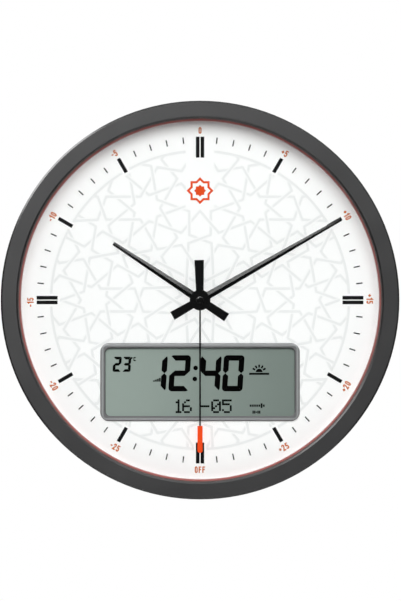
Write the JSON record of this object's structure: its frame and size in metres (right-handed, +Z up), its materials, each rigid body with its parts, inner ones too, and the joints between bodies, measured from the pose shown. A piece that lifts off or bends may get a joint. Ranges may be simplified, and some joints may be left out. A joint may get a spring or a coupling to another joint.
{
  "type": "azan wall clock",
  "caption": "Round wall clock with hour and minute hands, a prayer-time index hand, a liquid-crystal panel in the dial, rear buttons, battery bay and keyhole hanger.",
  "frame": {"origin": "on the hand axis, in the plane of the rear rim that rests against the wall", "axes": "+Z up, +Y towards the wall, the dial faces -Y"},
  "size_m": [0.35, 0.048, 0.35],
  "materials": {
    "bezel": "satin dark grey plastic",
    "accent": "glossy red plastic",
    "lens": "clear flat lens",
    "gasket": "black foam rubber",
    "dial": "white printed dial",
    "white_plastic": "moulded white plastic",
    "shell": "black textured plastic",
    "screw": "zinc-plated steel",
    "hanger": "zinc-plated sheet steel",
    "panel_trim": "grey satin plastic",
    "panel_glass": "liquid-crystal glass, grey green",
    "reflector": "reflective film",
    "conductive_rubber": "layered rubber",
    "board": "green solder mask",
    "chips": "black moulded parts",
    "sensor": "epoxy bead",
    "movement_case": "black plastic",
    "brass": "turned brass",
    "gear_plastic": "natural acetal",
    "rotor": "magnet on a plastic pinion",
    "stator": "soft iron sheet",
    "winding": "enamelled copper",
    "hand": "black painted aluminium",
    "index_tip": "orange paint",
    "knob": "moulded grey plastic",
    "cell": "plain wrapped cell",
    "contact": "nickel-plated steel",
    "speaker_metal": "pressed steel",
    "magnet": "ferrite",
    "cone": "black paper",
    "lead": "insulated wire"
  },
  "bodies": {
    "case": {"bezel_ring": "bezel", "accent_ring": "accent", "front_lens": "lens", "lens_gasket": "gasket", "dial_plate": "dial", "dial_carrier": "white_plastic", "panel_holder": "white_plastic", "rear_shell": "shell", "case_screws": "screw", "small_screws": "screw", "hanger_plate": "hanger", "panel_trim": "panel_trim", "panel_glass": "panel_glass", "panel_reflector": "reflector", "conductive_strips": "conductive_rubber", "main_board": "board", "button_board": "board", "board_components": "chips", "tact_switches": "chips", "slide_switch_body": "chips", "temperature_sensor": "sensor", "movement_front_case": "movement_case", "movement_rear_case": "movement_case", "centre_bush": "brass", "bush_nut": "brass", "bush_washer": "brass", "time_stator": "stator", "index_stator": "stator", "time_coil": "winding", "index_coil": "winding", "batteries": "cell", "battery_contacts": "contact", "battery_springs": "contact", "speaker_frame": "speaker_metal", "speaker_clamp": "speaker_metal", "speaker_magnet": "magnet", "speaker_cone": "cone", "internal_leads": "lead"},
    "minute_group": {"centre_wheel": "gear_plastic", "minute_hand": "hand"},
    "hour_group": {"hour_wheel": "gear_plastic", "hour_hand": "hand"},
    "index_group": {"index_wheel": "gear_plastic", "index_hand": "hand", "index_tip": "index_tip", "hub_cap": "hand"},
    "third_wheel_body": {"third_wheel": "gear_plastic"},
    "time_rotor_body": {"time_rotor": "rotor"},
    "motion_wheel_body": {"motion_wheel": "gear_plastic"},
    "setting_group": {"setting_gear": "gear_plastic", "setting_knob": "knob"},
    "index_reduction_body": {"index_reduction_wheel": "gear_plastic"},
    "index_rotor_body": {"index_rotor": "rotor"},
    "battery_cover_body": {"battery_cover": "shell"},
    "slide_switch_body_moving": {"slide_switch_knob": "knob"},
    "set_button_body": {"set_button": "knob"},
    "up_button_body": {"up_button": "knob"},
    "down_button_body": {"down_button": "knob"},
    "volume_button_body": {"volume_button": "knob"},
    "stop_button_body": {"stop_button": "knob"}
  },
  "joints": [
    {"name": "minute_turn", "type": "hinge", "parent": "case", "child": "minute_group", "pos_m": [0, -0.0107, 0], "axis": [0, 1, 0], "continuous": true},
    {"name": "hour_turn", "type": "hinge", "parent": "case", "child": "hour_group", "pos_m": [0, -0.0107, 0], "axis": [0, 1, 0], "continuous": true},
    {"name": "third_wheel_turn", "type": "hinge", "parent": "case", "child": "third_wheel_body", "pos_m": [-0.0105, -0.0107, 0], "axis": [0, 1, 0], "continuous": true},
    {"name": "time_rotor_turn", "type": "hinge", "parent": "case", "child": "time_rotor_body", "pos_m": [-0.0195, -0.0107, 0], "axis": [0, 1, 0], "continuous": true},
    {"name": "motion_wheel_turn", "type": "hinge", "parent": "case", "child": "motion_wheel_body", "pos_m": [0, -0.0107, 0.009], "axis": [0, 1, 0], "continuous": true},
    {"name": "setting_turn", "type": "hinge", "parent": "case", "child": "setting_group", "pos_m": [0, -0.0107, 0.01912], "axis": [0, 1, 0], "continuous": true},
    {"name": "index_turn", "type": "hinge", "parent": "case", "child": "index_group", "pos_m": [0, -0.0107, 0], "axis": [0, 1, 0], "continuous": true},
    {"name": "index_reduction_turn", "type": "hinge", "parent": "case", "child": "index_reduction_body", "pos_m": [0.0105, -0.0107, 0], "axis": [0, 1, 0], "continuous": true},
    {"name": "index_rotor_turn", "type": "hinge", "parent": "case", "child": "index_rotor_body", "pos_m": [0.0195, -0.0107, 0], "axis": [0, 1, 0], "continuous": true},
    {"name": "battery_cover_hinge", "type": "hinge", "parent": "case", "child": "battery_cover_body", "pos_m": [-0.092, -0.005, -0.003], "axis": [-1, 0, 0], "range_deg": [0, 100]},
    {"name": "slide_switch_slide", "type": "slide", "parent": "case", "child": "slide_switch_body_moving", "axis": [1, 0, 0], "range_m": [0, 0.004]},
    {"name": "set_button_press", "type": "slide", "parent": "case", "child": "set_button_body", "axis": [0, -1, 0], "range_m": [0, 0.0006], "stiffness_N_per_m": 150, "springref_m": -0.001},
    {"name": "up_button_press", "type": "slide", "parent": "case", "child": "up_button_body", "axis": [0, -1, 0], "range_m": [0, 0.0006], "stiffness_N_per_m": 150, "springref_m": -0.001},
    {"name": "down_button_press", "type": "slide", "parent": "case", "child": "down_button_body", "axis": [0, -1, 0], "range_m": [0, 0.0006], "stiffness_N_per_m": 150, "springref_m": -0.001},
    {"name": "volume_button_press", "type": "slide", "parent": "case", "child": "volume_button_body", "axis": [0, -1, 0], "range_m": [0, 0.0006], "stiffness_N_per_m": 150, "springref_m": -0.001},
    {"name": "stop_button_press", "type": "slide", "parent": "case", "child": "stop_button_body", "axis": [0, -1, 0], "range_m": [0, 0.0006], "stiffness_N_per_m": 150, "springref_m": -0.001}
  ],
  "couplings": [
    {"joint": "hour_turn", "follows": "minute_turn", "ratio": 0.083333},
    {"joint": "third_wheel_turn", "follows": "minute_turn", "ratio": -6},
    {"joint": "time_rotor_turn", "follows": "minute_turn", "ratio": 30},
    {"joint": "motion_wheel_turn", "follows": "minute_turn", "ratio": -0.33333},
    {"joint": "setting_turn", "follows": "minute_turn", "ratio": 0.66667},
    {"joint": "index_reduction_turn", "follows": "index_turn", "ratio": -6},
    {"joint": "index_rotor_turn", "follows": "index_turn", "ratio": 30}
  ]
}
